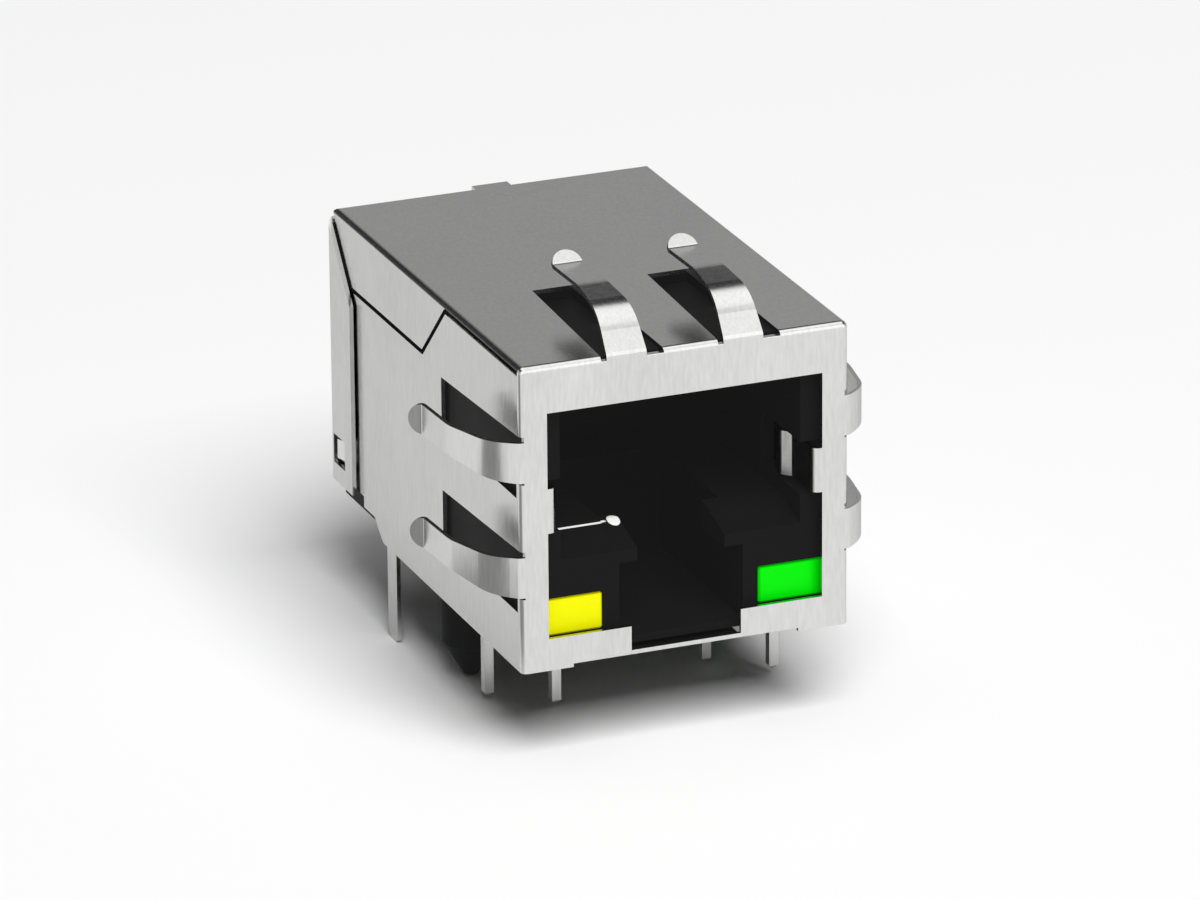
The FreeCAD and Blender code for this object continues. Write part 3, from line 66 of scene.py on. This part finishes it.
# Shader sockets as Python values
class Sock:
    """One output socket of a node tree. Sums and products on it add the maths nodes.

    Without a socket it stands for the tree alone, where a first node can be added.
    """

    def __init__(self, tree, socket=None):
        self.tree = tree
        self.socket = socket

    def node(self, kind, settings=(), inputs=(), output=0):
        """Adds a node: settings first, then the values or links of its sockets."""
        made = self.tree.nodes.new(kind)
        for name, value in dict(settings).items():
            setattr(made, name, value)
        for name, value in dict(inputs).items():
            if isinstance(value, Sock):
                self.tree.links.new(value.socket, made.inputs[name])
            else:
                made.inputs[name].default_value = value
        return Sock(self.tree, made.outputs[output])

    def maths(self, operation, *values):
        return self.node("ShaderNodeMath", {"operation": operation}, dict(enumerate(values)))

    def __add__(self, other):
        return self.maths("ADD", self, other)

    def __radd__(self, other):
        return self.maths("ADD", other, self)

    def __sub__(self, other):
        return self.maths("SUBTRACT", self, other)

    def __rsub__(self, other):
        return self.maths("SUBTRACT", other, self)

    def __mul__(self, other):
        return self.maths("MULTIPLY", self, other)

    def __rmul__(self, other):
        return self.maths("MULTIPLY", other, self)

    def __abs__(self):
        return self.maths("ABSOLUTE", self)

    def cosine(self):
        return self.maths("COSINE", self)

    def at_most(self, limit):
        return self.maths("MINIMUM", self, limit)

    def or_more(self, other):
        """The larger of the two."""
        return self.maths("MAXIMUM", self, other)

    def part(self, letter):
        """One of a vector's three numbers."""
        return self.node("ShaderNodeSeparateXYZ", (), {"Vector": self}, output="XYZ".index(letter))

    def band(self, low, high):
        """0 below low, 1 above high, smooth between."""
        inputs = {"Value": self, "From Min": low, "From Max": high}
        return self.node("ShaderNodeMapRange", {"interpolation_type": "SMOOTHSTEP"}, inputs)

    def between(self, low, high, soft):
        """1 between low and high, falling to 0 over a soft edge."""
        return self.band(low - soft, low) * (1 - self.band(high, high + soft))

    def blend(self, first, second):
        """A colour that goes from first to second as this socket goes from 0 to 1."""
        inputs = {"Factor": self, MIX_FIRST: first, MIX_SECOND: second}
        return self.node("ShaderNodeMix", {"data_type": "RGBA"}, inputs, output=MIX_RESULT)


class Finish:
    """A material under construction, with its principled shader."""

    def __init__(self, name, **numbers):
        self.material = bpy.data.materials.new(name)
        self.material.use_nodes = True
        self.tree = self.material.node_tree
        self.shader = self.tree.nodes["Principled BSDF"]
        for socket, value in numbers.items():
            self.shader.inputs[socket.replace("_", " ")].default_value = value
        self.place = Sock(self.tree).node("ShaderNodeTexCoord", output="Object")
        self.fed = {}

    def axis(self, letter):
        """One coordinate of the object's own space, in metres."""
        return self.place.part(letter)

    def noise(self, cells, upright=None, detail=2.0):
        """Soft noise with this many cells to the metre, or with as many as upright says along Z."""
        scale = (cells, cells, upright or cells)
        spread = self.place.node("ShaderNodeMapping", (), {"Vector": self.place, "Scale": scale})
        inputs = {"Vector": spread, "Scale": 1.0, "Detail": detail}
        return spread.node("ShaderNodeTexNoise", (), inputs)

    def feed(self, socket, value):
        """Links a value to one of the shader's sockets, in place of what fed it before."""
        self.fed[socket] = value
        self.tree.links.new(value.socket, self.shader.inputs[socket])

    def roughen(self, noise, low, high):
        """Roughness from low to high as the noise goes from 0 to 1."""
        self.feed("Roughness", noise * (high - low) + low)

    def bump(self, height, distance):
        inputs = {"Height": height, "Distance": distance}
        self.feed("Normal", height.node("ShaderNodeBump", (), inputs))


# Finishes
PLATE_DARK = grey(0.54)
PLATE_LIGHT = (0.83, 0.83, 0.82, 1)
PLATE_TINT = grey(0.62)
GRAIN_SHARE = 0.65
GRAIN_DEPTH = 0.0015 * MM


def plated_sheet():
    """Nickel-plated sheet with a fine upright brushed grain."""
    finish = Finish("nickel_plate", Metallic=1.0, Specular_Tint=PLATE_TINT)
    grain = finish.noise(6500, upright=1100, detail=3.0)
    cloud = finish.noise(220, upright=160)
    shade = grain * GRAIN_SHARE + cloud * (1 - GRAIN_SHARE)
    finish.feed("Base Color", shade.blend(PLATE_DARK, PLATE_LIGHT))
    finish.roughen((grain + cloud) * 0.5, low=0.12, high=0.28)
    finish.bump(grain, GRAIN_DEPTH)
    return finish.material


HOUSING_SHADE = 0.0035
CARRIER_SHADE = 0.006
MOULDING_GLOW = grey(0.0075)
MOULDING_SHINE = 0.03
PATCH_LIFT = 1.5
PATCH_BLUE = 1.03
SPARK_DEPTH = 0.006 * MM


def moulded_black(name, shade):
    """Glass-filled black moulding with a fine sparked texture.

    Its trace of glow stands for the light that scatters in its hollows.
    """
    finish = Finish(
        name,
        Specular_IOR_Level=MOULDING_SHINE,
        Emission_Color=MOULDING_GLOW,
        Emission_Strength=1.0,
    )
    texture = finish.noise(6000)
    patch = finish.noise(300)
    light = shade * PATCH_LIFT
    finish.feed("Base Color", patch.blend(grey(shade), (light, light, light * PATCH_BLUE, 1)))
    finish.roughen(patch, low=0.4, high=0.6)
    finish.bump(texture, SPARK_DEPTH)
    return finish


# The painted highlight: a bright streak painted along the left ledge's crease, and an oval spot at
# its right end
SHIELD_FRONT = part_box("shield_shell")[0].y
HIGHLIGHT_DEPTH = 2.77 * MM
HIGHLIGHT_LEVEL = 5.75 * MM
HIGHLIGHT_RISE = 0.15 * MM
HIGHLIGHT_SOFT = 0.02 * MM
HIGHLIGHT_COLOUR = grey(0.95)
STREAK_HALF = 0.05 * MM
STREAK_SOFT = 0.03 * MM
STREAK_END = -2.75 * MM
STREAK_FADE = 0.2 * MM
SPOT_MIDDLE = -2.45 * MM
SPOT_ACROSS = 0.3 * MM
SPOT_ALONG = 0.42 * MM
SPOT_INSIDE = 0.85
SPOT_OUTSIDE = 1.1


def black_with_painted_highlight():
    """The housing's moulding, with a painted highlight along the crease of the left ledge."""
    finish = moulded_black("black_moulding_painted_highlight", HOUSING_SHADE)
    across = finish.axis("X")
    behind = finish.axis("Y") - (SHIELD_FRONT + HIGHLIGHT_DEPTH)
    above = finish.axis("Z") - HIGHLIGHT_LEVEL
    on_ledge = 1 - abs(above).band(HIGHLIGHT_RISE, HIGHLIGHT_RISE + HIGHLIGHT_SOFT)
    on_crease = 1 - abs(behind).band(STREAK_HALF, STREAK_HALF + STREAK_SOFT)
    streak = on_crease * (1 - across.band(STREAK_END - STREAK_FADE, STREAK_END))
    side_share = (across - SPOT_MIDDLE) * (1 / SPOT_ACROSS)
    depth_share = behind * (1 / SPOT_ALONG)
    reach = side_share * side_share + depth_share * depth_share
    spot = 1 - reach.band(SPOT_INSIDE, SPOT_OUTSIDE)
    # Painted highlight: the streak and the spot turn the base colour near white.
    painted_highlight = (streak + spot).at_most(1.0) * on_ledge
    finish.feed("Base Color", painted_highlight.blend(finish.fed["Base Color"], HIGHLIGHT_COLOUR))
    return finish.material


YELLOW_LIGHT = (0.77, 0.77, 0.001, 1)
YELLOW_DEEP = (0.73, 0.72, 0.001, 1)
GREEN_LIGHT = (0.001, 0.74, 0.003, 1)
GREEN_DEEP = (0.001, 0.70, 0.002, 1)
LAMP_SHINE = 0.06
LAMP_GLOW = 0.2


def lamp_resin(name, light, deep):
    """Coloured lamp moulding in faint patches of two tones, which glows a little."""
    finish = Finish(name, Specular_IOR_Level=LAMP_SHINE, Emission_Strength=LAMP_GLOW)
    patch = finish.noise(500)
    colour = patch.blend(light, deep)
    finish.feed("Base Color", colour)
    finish.feed("Emission Color", colour)
    finish.roughen(patch, low=0.25, high=0.35)
    return finish.material


GOLD_DARK = (0.70, 0.48, 0.16, 1)
GOLD_LIGHT = (0.86, 0.66, 0.30, 1)
GOLD_ROUGH = 0.2
TIN_DARK = (0.55, 0.55, 0.54, 1)
TIN_LIGHT = (0.72, 0.72, 0.71, 1)
TIN_ROUGH = 0.3
WIRE_VARIES = 0.15


def plated_wire(name, dark, light, rough):
    """Plated wire, with streaks along its upright stretches."""
    finish = Finish(name, Metallic=1.0)
    streak = finish.noise(4000, upright=600)
    finish.feed("Base Color", streak.blend(dark, light))
    finish.roughen(streak, low=rough, high=rough + WIRE_VARIES)
    return finish.material


LACQUER_DARK = (0.02, 0.13, 0.05, 1)
LACQUER_LIGHT = (0.03, 0.19, 0.08, 1)
TRACE_COLOUR = (0.07, 0.30, 0.11, 1)
TRACE_PITCH = 1.016 * MM
TRACE_FOOT = 2.0 * MM
TRACE_TOP = 12.0 * MM
TRACE_SOFT = 0.2 * MM
TRACE_START = 0.5
TRACE_FULL = 0.7
TRACE_HEIGHT = 0.02 * MM


def laminate():
    """Green lacquered board, with upright copper traces showing through the lacquer."""
    finish = Finish("board_lacquer")
    weave = finish.noise(2500)
    wave = (finish.axis("X") * (2 * math.pi / TRACE_PITCH)).cosine()
    stripe = wave.band(TRACE_START, TRACE_FULL)
    trace = stripe * finish.axis("Z").between(TRACE_FOOT, TRACE_TOP, TRACE_SOFT)
    lacquer = weave.blend(LACQUER_DARK, LACQUER_LIGHT)
    finish.feed("Base Color", trace.blend(lacquer, TRACE_COLOUR))
    finish.roughen(weave, low=0.3, high=0.5)
    finish.bump(trace, TRACE_HEIGHT)
    return finish.material


CERAMIC_DARK = (0.25, 0.20, 0.15, 1)
CERAMIC_LIGHT = (0.35, 0.30, 0.24, 1)
CAP_COLOUR = (0.62, 0.62, 0.60, 1)
CAP_SOFT = 0.04 * MM
CHIP_CAP = 0.3 * MM
BLOCK_CAP = 0.5 * MM
BLOCK_GAP = 0.6 * MM


def capped_ceramic():
    """Fired ceramic of the board's chips and of the block above them, with tinned end caps."""
    finish = Finish("fired_ceramic", Specular_IOR_Level=0.4)
    speck = finish.noise(3000)
    chip_middle = middle("resistor_1").z
    chip_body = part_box("resistor_1")[1].z - chip_middle - CHIP_CAP
    block_low, block_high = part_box("capacitor")
    block_body = block_high.x - BLOCK_CAP
    below_block = block_low.z - BLOCK_GAP
    up = finish.axis("Z")
    is_block = up.band(below_block - CAP_SOFT, below_block)
    chip_cap = abs(up - chip_middle).band(chip_body, chip_body + CAP_SOFT) * (1 - is_block)
    block_cap = abs(finish.axis("X")).band(block_body, block_body + CAP_SOFT) * is_block
    cap = chip_cap + block_cap
    finish.feed("Base Color", cap.blend(speck.blend(CERAMIC_DARK, CERAMIC_LIGHT), CAP_COLOUR))
    finish.feed("Metallic", cap)
    finish.roughen(speck, low=0.4, high=0.6)
    return finish.material


CORE_DARK = (0.04, 0.03, 0.03, 1)
COPPER_DARK = (0.42, 0.16, 0.05, 1)
COPPER_LIGHT = (0.58, 0.25, 0.09, 1)
TURNS = 44
TURN_START = -0.5
TURN_FULL = 0.1
TURN_HEIGHT = 0.05 * MM


def wound_core():
    """Lacquered ring core under enamelled copper turns that run round the ring."""
    finish = Finish("wound_core")
    lower_core = middle("transformer_right")
    upper_core = middle("choke_right")
    halfway = (lower_core.z + upper_core.z) / 2
    aside = abs(finish.axis("X")) - lower_core.x
    rise = abs(finish.axis("Z") - halfway) - (upper_core.z - halfway)
    angle = rise.maths("ARCTAN2", rise, aside)
    wire = (angle * TURNS).cosine()
    speck = finish.noise(3000)
    copper = speck.blend(COPPER_DARK, COPPER_LIGHT)
    finish.feed("Base Color", wire.band(TURN_START, TURN_FULL).blend(CORE_DARK, copper))
    finish.roughen(speck, low=0.3, high=0.5)
    finish.bump(wire, TURN_HEIGHT)
    return finish.material


def dress(finishes):
    """Gives every carried-over node the finish of its slot in the record."""
    slots = {part["node"]: part["material_slot"] for part in frame["record"]["subparts"]}
    for name, node in frame["nodes"].items():
        node.data.materials.clear()
        node.data.materials.append(finishes[slots[name]])


# Stage
# Soft light overhead: the angles above the horizon where it starts and is full, and its tones
OVERHEAD_START = math.radians(52)
OVERHEAD_FULL = math.radians(62)
OVERHEAD_TONE = 0.45
OVERHEAD_SHINE = 0.85
# Cards in the world, by the share of a direction along an axis: low at the rear and sides, and ahead
CARD_TOP = 0.42
CARD_SOFT = 0.1
CARD_TONE = 0.46
SIDE_START = 0.5
SIDE_FULL = 0.62
FRONT_START = 0.35
FRONT_FULL = 0.55
FRONT_FOOT = 0.02
FRONT_TONE = 1.35
WALL_TONE = 0.04
# The floor, and the painted shade on it that only reflections show
FLOOR_REACH = 3.0
FLOOR_TONE = grey(0.93)
REFLECTED_SHADE_TONE = grey(0.28)
REFLECTED_SHADE_SIDE = -16 * MM
REFLECTED_SHADE_FRONT = -20 * MM
REFLECTED_SHADE_REAR = 5 * MM
REFLECTED_SHADE_SOFT = 7 * MM
# The key lamp
KEY_PLACE = Vector((0.0, -1.2, 1.7))
KEY_SIZE = 1.4
KEY_POWER = 52


def in_reflections(tree):
    """1 where a reflection looks, and 0 elsewhere."""
    return Sock(tree).node("ShaderNodeLightPath", output="Is Glossy Ray")


def make_floor(level):
    """Plain pale floor. Only reflections show the shade painted on it at the left, which darkens what
    the metal reflects.
    """
    shape = bmesh.new()
    bmesh.ops.create_grid(shape, x_segments=1, y_segments=1, size=FLOOR_REACH)
    mesh = bpy.data.meshes.new("floor")
    shape.to_mesh(mesh)
    shape.free()
    floor = bpy.data.objects.new("floor", mesh)
    bpy.context.scene.collection.objects.link(floor)
    floor.location.z = level
    finish = Finish("pale_floor", Roughness=0.9, Specular_IOR_Level=0.0)
    aside = 1 - finish.axis("X").band(REFLECTED_SHADE_SIDE - REFLECTED_SHADE_SOFT, REFLECTED_SHADE_SIDE)
    along = finish.axis("Y").between(REFLECTED_SHADE_FRONT, REFLECTED_SHADE_REAR, REFLECTED_SHADE_SOFT)
    # Painted shade: a dark patch that only reflections see, which darkens the metal's reflections at
    # the left.
    reflected_shade = in_reflections(finish.tree) * aside * along
    finish.feed("Base Color", reflected_shade.blend(FLOOR_TONE, REFLECTED_SHADE_TONE))
    mesh.materials.append(finish.material)


def make_key_lamp():
    """One large soft lamp above and ahead, which reflections don't show."""
    data = bpy.data.lights.new("key_lamp", "AREA")
    data.shape = "SQUARE"
    data.size = KEY_SIZE
    data.energy = KEY_POWER
    lamp = bpy.data.objects.new("key_lamp", data)
    lamp.visible_glossy = False
    lamp.location = KEY_PLACE
    lamp.rotation_euler = (-KEY_PLACE).to_track_quat("-Z", "Y").to_euler()
    bpy.context.scene.collection.objects.link(lamp)


def make_world():
    """Soft light overhead, dark walls, and cards that only reflections show."""
    world = bpy.data.worlds.new("studio")
    bpy.context.scene.world = world
    world.use_nodes = True
    tree = world.node_tree
    direction = Sock(tree).node("ShaderNodeTexCoord", output="Generated")
    across = direction.part("X")
    back = direction.part("Y")
    height = direction.part("Z")
    overhead = height.band(math.sin(OVERHEAD_START), math.sin(OVERHEAD_FULL))
    low = 1 - height.band(CARD_TOP, CARD_TOP + CARD_SOFT)
    behind = across.band(-CARD_SOFT, CARD_SOFT) * back.band(0.0, CARD_SOFT)
    beside = abs(across).band(SIDE_START, SIDE_FULL)
    card = low * behind.or_more(beside)
    off_floor = height.band(FRONT_FOOT, 2 * FRONT_FOOT)
    ahead = (0 - back).band(FRONT_START, FRONT_FULL) * off_floor * (1 - overhead)
    shine = overhead * OVERHEAD_SHINE + card * CARD_TONE + ahead * FRONT_TONE
    tone = overhead * OVERHEAD_TONE + shine * in_reflections(tree) + WALL_TONE
    tree.links.new(tone.socket, tree.nodes["Background"].inputs["Color"])


# Camera, fitted to the photograph. The focal length and the shift are in pixels of its frame.
CAMERA_PLACE = Vector((-143.96, -359.96, 152.89)) * MM
CAMERA_AZIMUTH = math.radians(-21.861)
CAMERA_ELEVATION = math.radians(20.638)
CAMERA_ROLL = math.radians(-0.444)
FRAME_WIDTH = 1200
FOCAL_PIXELS = 8909.3
SHIFT_RIGHT = -3.68
SHIFT_UP = -19.06
SENSOR_WIDTH = 36.0


def make_camera():
    """Long lens from the front left, a little above, as in the photograph."""
    data = bpy.data.cameras.new("camera")
    data.sensor_width = SENSOR_WIDTH
    data.lens = FOCAL_PIXELS / FRAME_WIDTH * SENSOR_WIDTH
    data.shift_x = SHIFT_RIGHT / FRAME_WIDTH
    data.shift_y = SHIFT_UP / FRAME_WIDTH
    camera = bpy.data.objects.new("camera", data)
    level = math.cos(CAMERA_ELEVATION)
    back = Vector((
        math.sin(CAMERA_AZIMUTH) * level,
        -math.cos(CAMERA_AZIMUTH) * level,
        math.sin(CAMERA_ELEVATION),
    ))
    right = Vector((0, 0, 1)).cross(back).normalized()
    up = back.cross(right)
    across = right * math.cos(CAMERA_ROLL) + up * math.sin(CAMERA_ROLL)
    upright = up * math.cos(CAMERA_ROLL) - right * math.sin(CAMERA_ROLL)
    pose = Matrix((across, upright, back)).transposed().to_4x4()
    camera.matrix_world = Matrix.Translation(CAMERA_PLACE) @ pose
    bpy.context.scene.collection.objects.link(camera)
    bpy.context.scene.camera = camera


dress({
    "shield_metal": plated_sheet(),
    # The housing's moulding carries a painted highlight in the mouth.
    "black_plastic": black_with_painted_highlight(),
    "carrier_plastic": moulded_black("carrier_moulding", CARRIER_SHADE).material,
    "contact_gold": plated_wire("gold_plate", GOLD_DARK, GOLD_LIGHT, GOLD_ROUGH),
    "lead_tin": plated_wire("tin_plate", TIN_DARK, TIN_LIGHT, TIN_ROUGH),
    "lamp_yellow": lamp_resin("yellow_resin", YELLOW_LIGHT, YELLOW_DEEP),
    "lamp_green": lamp_resin("green_resin", GREEN_LIGHT, GREEN_DEEP),
    "board_laminate": laminate(),
    "ceramic": capped_ceramic(),
    "ferrite": wound_core(),
})
make_floor(model_box[0].z)
make_world()
make_key_lamp()
make_camera()
bpy.context.scene.view_settings.view_transform = "Standard"
